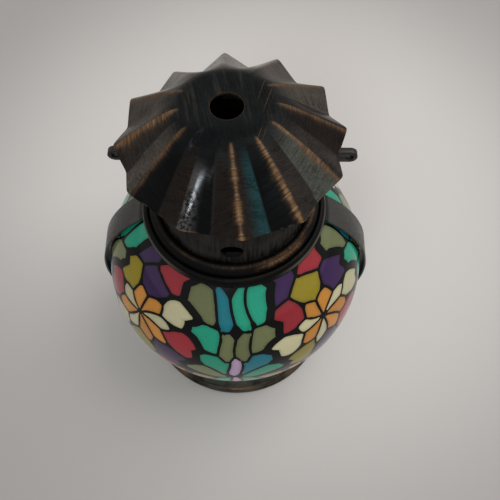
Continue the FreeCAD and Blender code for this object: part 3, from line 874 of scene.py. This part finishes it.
class PaneLayout:
    """Flowers and leaf fans round the ball, each pane grown from a middle, a direction and two reaches."""

    repeats = 4
    block = 12000
    nudge = 0.02
    contour = 1.05
    crumb = 16
    crumb_depth = 0.35
    spread = 1.14
    far = 99
    least_slope = 0.02

    def __init__(self, sizes, colours):
        self.radius = sizes.globe_radius / MM
        self.middle = sizes.globe_middle / MM
        self.colours = colours
        self.panes = []
        turns = [repeat * 360 / self.repeats for repeat in range(self.repeats)]
        self.motif = 0
        for turn in turns:
            self.motif += 1
            self.flower(turn + 45, 20)
        for turn in turns:
            self.motif += 1
            self.fan(turn, -4)
        self.motif += 1
        self.hem()
        columns = [numpy.array(column) for column in zip(*self.panes)]
        self.middles, self.longs, self.wides, shapes, self.tints, self.motifs = columns
        self.shapes = shapes.T

    def axes(self, east, north):
        """Outward, eastward and northward directions at a place given in degrees, east of the front."""
        turn = math.radians(east - 90)
        rise = math.radians(north)
        out = Vector((math.cos(rise) * math.cos(turn), math.cos(rise) * math.sin(turn), math.sin(rise)))
        side = Vector((-math.sin(turn), math.cos(turn), 0))
        return out, side, out.cross(side)

    def pane(self, root, bearing, distance, long, wide, tone, lean=0, bend=0, taper=0, point=1):
        """Add a pane at a bearing (from north, clockwise, degrees) and distance (mm) from a root place."""
        out, side, up = root
        turn = math.radians(bearing)
        way = up * math.cos(turn) + side * math.sin(turn)
        sweep = distance / self.radius
        spot = out * math.cos(sweep) + way * math.sin(sweep)
        ahead = way * math.cos(sweep) - out * math.sin(sweep)
        tilt = math.radians(lean)
        along = ahead * math.cos(tilt) + ahead.cross(spot) * math.sin(tilt)
        shift = 1 + 0.1 * math.sin(len(self.panes) * 2.4)
        value = [min(1, channel * shift) for channel in getattr(self.colours, tone)]
        if self.taken(spot):
            return
        shape = (long, wide, bend, taper, 2 - 0.55 * point)
        self.panes.append((spot, along, along.cross(spot), shape, value, self.motif))

    def taken(self, spot):
        """Whether another pane already covers this place."""
        for other, along, across, shape in [pane[:4] for pane in self.panes]:
            away = self.radius * spot.angle(other)
            share = abs(spot.dot(along)) * self.radius / shape[0]
            side = abs(spot.dot(across)) * self.radius / shape[1]
            if away < 1.5 * shape[0] and math.hypot(share, side) < 0.9:
                return True
        return False

    def flower(self, east, north):
        """A round flower: orange and cream petals, then olive, cream, red and purple ones round them."""
        root = self.axes(east, north)
        inner = ("orange", "cream", "orange", "orange", "cream", "orange", "cream", "orange")
        for step, tone in enumerate(inner):
            bearing = 45 * step + 20
            wide = 2.5 if tone == "cream" else 3.3
            self.pane(root, bearing, 6.6, 6.2, wide, tone, lean=6, bend=0.02, taper=0.5, point=0.9)
        outer = ("olive", "cream", "red", "olive", "purple", "cream", "red", "purple")
        shift = 3 * self.motif
        for step, tone in enumerate(outer[shift % 8:] + outer[:shift % 8]):
            bearing = 45 * step - 2.5
            wide = 5 if tone == "cream" else 6.2
            self.pane(root, bearing, 17.4, 6.6, wide, tone, lean=8, bend=0.02, taper=0.3, point=0.9)
        rim = ((-20, "purple"), (14, "red"), (158, "red"), (194, "purple"))
        for bearing, tone in rim:
            self.pane(root, bearing, 26, 7.4, 4.8, tone, lean=50, bend=-0.03, taper=0.2, point=1.3)
        below = ((168, 37, "cream"), (192, 37, "olive"), (148, 33, "orange"), (212, 33, "orange"))
        for bearing, distance, tone in below:
            self.pane(root, bearing, distance, 6.8, 5.4, tone, taper=-0.2, point=1.1)

    def fan(self, east, north):
        """A fan of paired leaves rising from a bud to the collar, and a small one hanging below it."""
        root = self.axes(east, north)
        self.pane(root, 0, 8.5, 7, 2.8, "lilac", point=1.3)
        for side, low_tone, high_tone in ((-1, "sage", "sea"), (1, "sage", "teal")):
            for bearing, distance, tone, lean in ((7, 22, low_tone, -5), (4.2, 38.5, high_tone, -4)):
                self.pane(
                    root, bearing * side, distance, 9.6, 2.9, tone, lean=lean * side, bend=0.02 * side,
                    point=1.2,
                )
        pairs = (
            ("teal", "sea", 30, 14, 9.5, 4, 6, 0.03), ("sage", "teal", 62, 12.5, 9.5, 3.6, 6, 0.03),
            ("teal", "sage", 21, 30, 9, 4.2, 22, 0.03), ("sage", "teal", 37, 27.5, 9, 4, 14, 0.035),
            ("sage", "teal", 14.5, 44.5, 9, 4.4, 18, 0.03), ("teal", "sage", 27, 42, 9.4, 4.4, 12, 0.03),
            ("sage", "sage", 7, 56, 7, 4.4, 0, 0), ("teal", "sea", 25, 55.5, 8, 5.2, 10, 0),
        )
        for left, right, bearing, distance, long, wide, lean, bend in pairs:
            for side, tone in ((-1, left), (1, right)):
                self.pane(
                    root, bearing * side, distance, long, wide, tone, lean=lean * side, bend=bend * side,
                    taper=-0.15, point=1.5,
                )
        low = (
            ("lilac", 180, 7, 6, 2.6, 0), ("teal", 148, 13, 10.5, 4.6, 8),
            ("teal", -148, 13, 10.5, 4.6, -8), ("sage", 180, 21, 9, 5.2, 0),
            ("olive", 112, 18, 8.5, 4.8, 0), ("olive", -112, 18, 8.5, 4.8, 0),
            ("sea", 158, 31, 8.5, 5.4, 0), ("teal", -158, 31, 8.5, 5.4, 0),
            ("purple", 128, 28, 9, 5, 20), ("red", -128, 28, 9, 5, -20),
            ("orange", 104, 33, 8, 5.4, 0), ("sage", 180, 38, 8, 5.4, 0),
        )
        for tone, bearing, distance, long, wide, lean in low:
            self.pane(root, bearing, distance, long, wide, tone, lean=lean, taper=-0.1, point=1.2)

    def hem(self):
        """Two rows of plain panes that close the drawing above the foot."""
        tones = ("teal", "sage", "red", "olive", "sea", "sage", "purple", "olive", "teal", "cream")
        for north, count, long, wide in ((-40.5, 20, 6.6, 5.6), (-53.5, 16, 5.2, 5.4)):
            for step in range(count):
                root = self.axes(360 / count * (step + 0.5), north)
                tone = tones[(3 * step + count) % len(tones)]
                self.pane(root, 0, 0, long, wide, tone, taper=0.15, point=0.6)

    def unit(self, rows):
        return rows / numpy.linalg.norm(rows, axis=1)[:, None]

    def sway(self, points):
        """Bend the drawing a little, so that its lines look drawn by hand."""
        slow = numpy.sin(points[:, [1, 2, 0]] * 9 + numpy.array([0.4, 2.1, 4.4]))
        quick = numpy.sin(points[:, [2, 0, 1]] * 19 + numpy.array([1.3, 3, 5.2]))
        return self.unit(points + 0.02 * slow + 0.009 * quick)

    def reach(self, points):
        """How far each point lies from each pane's middle, 1 at the pane's own edge."""
        points = self.sway(points)
        facing = numpy.clip(points @ self.middles.T, -1, 1)
        angle = numpy.arccos(facing)
        stretch = self.radius * angle / numpy.maximum(numpy.sin(angle), TINY)
        long, wide, bend, taper, power = self.shapes
        along = stretch * (points @ self.longs.T)
        across = stretch * (points @ self.wides.T) - bend * along ** 2
        share = along / long
        girth = wide * numpy.clip(1 + taper * share, 0.3, 1.7)
        value = numpy.sqrt(share ** 2 + numpy.abs(across / girth) ** power)
        value[angle > 1] = self.far
        return value

    def in_blocks(self, work, points):
        """Work on the points a block at a time."""
        parts = numpy.array_split(points, max(1, len(points) // self.block))
        return numpy.concatenate([work(part) for part in parts])

    def nearest(self, points):
        """The nearest pane for each direction."""
        return self.reach(points).argmin(axis=1)

    def depth(self, points):
        """Distance in mm from each direction to the edge of its pane."""
        rows = numpy.arange(len(points))
        reach = self.reach(points)
        first = reach.argmin(axis=1)
        same = self.motifs[None, :] == self.motifs[first][:, None]
        beside = numpy.where(same, reach, self.far)
        beside[rows, first] = self.far
        others = (beside.argmin(axis=1), numpy.where(same, self.far, reach).argmin(axis=1))
        east = self.unit(numpy.cross(numpy.array([[0, 0, 1]]), points))
        slopes = []
        for way in (east, numpy.cross(points, east)):
            moved = self.unit(points + way * self.nudge / self.radius)
            slopes.append((self.reach(moved) - reach) / self.nudge)
        own = numpy.hypot(*[slope[rows, first] for slope in slopes])
        depth = (self.spread - reach[rows, first]) / numpy.maximum(own, self.least_slope)
        for other, extra in zip(others, (0, self.contour)):
            steep = numpy.hypot(*[slope[rows, other] - slope[rows, first] for slope in slopes])
            border = (reach[rows, other] - reach[rows, first]) / numpy.maximum(steep, self.least_slope)
            depth = numpy.minimum(depth, border - extra)
        return depth

    def directions(self, places):
        """Unit directions from the middle of the ball."""
        return self.unit(places - numpy.array([0, 0, self.middle * MM]))

    def crumbs(self, mesh, found, depth):
        """Points that belong to a stray crumb of a pane, cut off from the rest of it."""
        edges = numpy.zeros(len(mesh.edges) * 2, int)
        mesh.edges.foreach_get("vertices", edges)
        start, stop = edges.reshape(-1, 2).T
        inside = depth > self.crumb_depth
        joined = inside[start] & inside[stop] & (found[start] == found[stop])
        start, stop = start[joined], stop[joined]
        group = numpy.arange(len(depth))
        while True:
            before = group.copy()
            lowest = numpy.minimum(group[start], group[stop])
            numpy.minimum.at(group, start, lowest)
            numpy.minimum.at(group, stop, lowest)
            group = group[group]
            if (group == before).all():
                break
        counts = numpy.bincount(group, minlength=len(group))
        return inside & (counts[group] < self.crumb)

    def draw(self, mesh):
        """Write each face's pane colour and each point's depth inside its pane."""
        places = numpy.zeros(len(mesh.vertices) * 3)
        mesh.vertices.foreach_get("co", places)
        places = places.reshape(-1, 3)
        ways = self.directions(places)
        depth = self.in_blocks(self.depth, ways)
        # Under the collar the glass is all dark lead: the drawing stops there, and the dark also stands in
        # for the shade seen through the vents.
        depth[places[:, 2] > COLLAR_LOW.z + 2 * MM] = -1
        depth[self.crumbs(mesh, self.in_blocks(self.nearest, ways), depth)] = -1
        mesh.attributes.new("lead", "FLOAT", "POINT").data.foreach_set("value", depth.astype(numpy.float32))
        corners = numpy.zeros(len(mesh.loops), int)
        mesh.loops.foreach_get("vertex_index", corners)
        centres = places[corners.reshape(-1, 4)].mean(axis=1)
        found = self.in_blocks(self.nearest, self.directions(centres))
        tints = numpy.ones((len(found), 4), numpy.float32)
        tints[:, :3] = self.tints[found]
        colours = numpy.repeat(tints, 4, axis=0).ravel()
        mesh.color_attributes.new("pane", "FLOAT_COLOR", "CORNER").data.foreach_set("color", colours)


class LANTERN_OT_straps(bpy.types.Operator):
    """Soften and finish the side straps and the hanging ears"""

    bl_idname = "lantern.straps"
    bl_label = "Straps and Ears"

    # Inside this radius the straps carry a painted shadow, where they run in under the collar's skirt.
    strap_shadow_radius = 34.4 * MM

    def execute(self, context):
        sizes = context.scene.lantern_sizes
        colours = context.scene.lantern_colours
        satin = sheet_material(
            "satin strap", colours.strap, scaled_tint(colours.strap, 0.6), metallic=0.35,
            stretch=(900, 900, 60), roughness=0.42, shadow_radius=self.strap_shadow_radius,
        )
        dark = sheet_material(
            "dark ear", colours.ash, colours.black, metallic=0.3, stretch=(300, 1400, 1400),
            roughness=0.38,
        )
        for node in ("strap_left", "strap_right"):
            bm = softened_copy(node, sizes.soft_edge)
            finish_piece(node + "_band", bm, satin, "lantern", [node])
        for node in ("hanging_ear_left", "hanging_ear_right"):
            bm = softened_copy(node, sizes.soft_edge)
            finish_piece(node + "_lug", bm, dark, "lantern", [node])
        return {"FINISHED"}


class LANTERN_OT_foot(bpy.types.Operator):
    """Round the edges of the foot and dress it in antiqued metal"""

    bl_idname = "lantern.foot"
    bl_label = "Foot"

    soft_rim = 0.3 * MM
    # The rim band is rubbed metal that is also a painted brown highlight along the rim; the neck band is
    # rubbed metal.
    crests = ((39, 4, 1.6, 0), (29.5, 16, 0.8, 0))

    def execute(self, context):
        colours = context.scene.lantern_colours
        bm = softened_copy("foot", self.soft_rim)
        material = turned_material("antiqued foot", colours, colours.stone, self.crests)
        finish_piece("foot_shell", bm, material, "lantern", ["foot"])
        return {"FINISHED"}


class LANTERN_OT_inner_metal(bpy.types.Operator):
    """Finish the pan, cup, sleeve and rivets"""

    bl_idname = "lantern.inner_metal"
    bl_label = "Inner Metal"

    pan_crests = ((29.5, 16.8, 0.8, 0),)

    def execute(self, context):
        colours = context.scene.lantern_colours
        tin = sheet_material(
            "plain tin", colours.tin, scaled_tint(colours.tin, 0.45), metallic=0.8,
            stretch=(120, 120, 1500), roughness=0.36,
        )
        rivet = sheet_material(
            "rivet metal", colours.strap, colours.black, metallic=0.6, stretch=(900, 900, 900),
            roughness=0.4,
        )
        for node in ("candle_cup", "cap_sleeve"):
            dress_node(node, tin)
        for node in ("candle_cup_rivet", "strap_foot_rivets", "ear_rivets"):
            dress_node(node, rivet)
        dress_node("base_pan", turned_material("antiqued pan", colours, colours.brown, self.pan_crests))
        return {"FINISHED"}


class LANTERN_OT_stage(bpy.types.Operator):
    """Set the floor, the lights and the camera"""

    bl_idname = "lantern.stage"
    bl_label = "Stage"

    # The floor's colour holds a painted pool of light round a place behind the lantern and falls off to
    # painted dusk. Places are in metres.
    floor_half = 20.0
    bright_x = 0.018
    bright_y = 0.068
    bright_reach = 0.08
    dusk_reach = 0.21
    dusk = 0.6
    grain_lift = 1.04
    room_colour = (1, 0.985, 0.965, 1)
    room_fill = 0.42
    room_seen = 0.7
    # Each lamp's name, direction, distance, size, power and colour.
    lamps = (
        ("window", Vector((-0.165, -0.709, 0.687)), 1.4, 0.3, 3, (0.86, 0.93, 1)),
        ("softbox", Vector((0.5, 0.15, 0.85)), 2, 1.6, 17.5, (1, 1, 1)),
    )
    lamp_aim = Vector((0, 0, 0.1))
    view_aim = Vector((5.81, 0, 64.27)) * MM
    view_distance = 280.09 * MM
    view_rise = math.radians(62.32)
    view_roll = math.radians(0.5)
    lens = 50.4

    def execute(self, context):
        self.floor(context)
        self.lights(context)
        self.camera(context)
        context.scene.view_settings.view_transform = "Standard"
        return {"FINISHED"}

    def floor(self, context):
        material, nodes, shader = new_material("pale floor")
        colour = context.scene.lantern_colours.floor
        place = nodes.place()
        x, y = nodes.split(place)[:2]
        away = nodes.hypot(nodes.minus(x, self.bright_x), nodes.minus(y, self.bright_y))
        grain = nodes.noise(place, 2.2, 4, 0.5)
        tone = nodes.mix(grain, colour, scaled_tint(colour, self.grain_lift))
        # Painted light and shade: the floor's colour darkens away from the bright place.
        far = nodes.ramp(away, self.bright_reach, self.dusk_reach)
        nodes.put(shader["Base Color"], nodes.mix(far, tone, scaled_tint(colour, self.dusk)))
        shader["Roughness"].default_value = 0.85
        bm = bmesh.new()
        bmesh.ops.create_grid(bm, x_segments=4, y_segments=4, size=self.floor_half)
        floor = mesh_object("floor", bm)
        floor.data.materials.append(material)

    def lights(self, context):
        """The room, brighter where it is seen or mirrored, and the lamps."""
        world = bpy.data.worlds.new("studio")
        world.use_nodes = True
        nodes = Nodes(world.node_tree)
        path = nodes.add("ShaderNodeLightPath").outputs
        room = world.node_tree.nodes["Background"].inputs
        room["Color"].default_value = self.room_colour
        mirrored = nodes.most(path["Is Camera Ray"], path["Is Glossy Ray"])
        mirrored = nodes.most(mirrored, path["Is Transmission Ray"])
        nodes.put(room["Strength"], nodes.blend(mirrored, self.room_fill, self.room_seen))
        context.scene.world = world
        for name, way, distance, size, power, colour in self.lamps:
            data = bpy.data.lights.new(name, "AREA")
            data.shape = "SQUARE"
            data.size = size
            data.energy = power
            data.color = colour
            spot = self.lamp_aim + way.normalized() * distance
            aimed_object(name, data, spot, self.lamp_aim - spot)

    def camera(self, context):
        """The photograph's viewpoint: aim, distance, height angle and a slight roll."""
        forward = Vector((0, math.cos(self.view_rise), -math.sin(self.view_rise)))
        data = bpy.data.cameras.new("camera")
        data.sensor_width = 36
        data.lens = self.lens
        data.clip_start = 0.01
        camera = aimed_object("camera", data, self.view_aim - forward * self.view_distance, forward)
        roll = Matrix.Rotation(self.view_roll, 3, "Z").to_quaternion()
        camera.rotation_quaternion = camera.rotation_quaternion @ roll
        context.scene.camera = camera


class LANTERN_PT_panel(bpy.types.Panel):
    """Lists the lantern's operators"""

    bl_idname = "LANTERN_PT_panel"
    bl_label = "Lantern"
    bl_space_type = "VIEW_3D"
    bl_region_type = "UI"
    bl_category = "Lantern"

    def draw(self, context):
        for step in STEPS:
            self.layout.operator(step.bl_idname)


STEPS = (
    LANTERN_OT_stage,
    LANTERN_OT_cap,
    LANTERN_OT_collar,
    LANTERN_OT_globe,
    LANTERN_OT_straps,
    LANTERN_OT_foot,
    LANTERN_OT_inner_metal,
)
CLASSES = (LanternSizes, LanternColours) + STEPS + (LANTERN_PT_panel,)


def register():
    for item in CLASSES:
        bpy.utils.register_class(item)
    bpy.types.Scene.lantern_sizes = bpy.props.PointerProperty(type=LanternSizes)
    bpy.types.Scene.lantern_colours = bpy.props.PointerProperty(type=LanternColours)


def unregister():
    del bpy.types.Scene.lantern_colours
    del bpy.types.Scene.lantern_sizes
    for item in reversed(CLASSES):
        bpy.utils.unregister_class(item)


def main():
    register()
    for step in STEPS:
        group, name = step.bl_idname.split(".")
        getattr(getattr(bpy.ops, group), name)()


if __name__ == "__main__":
    main()
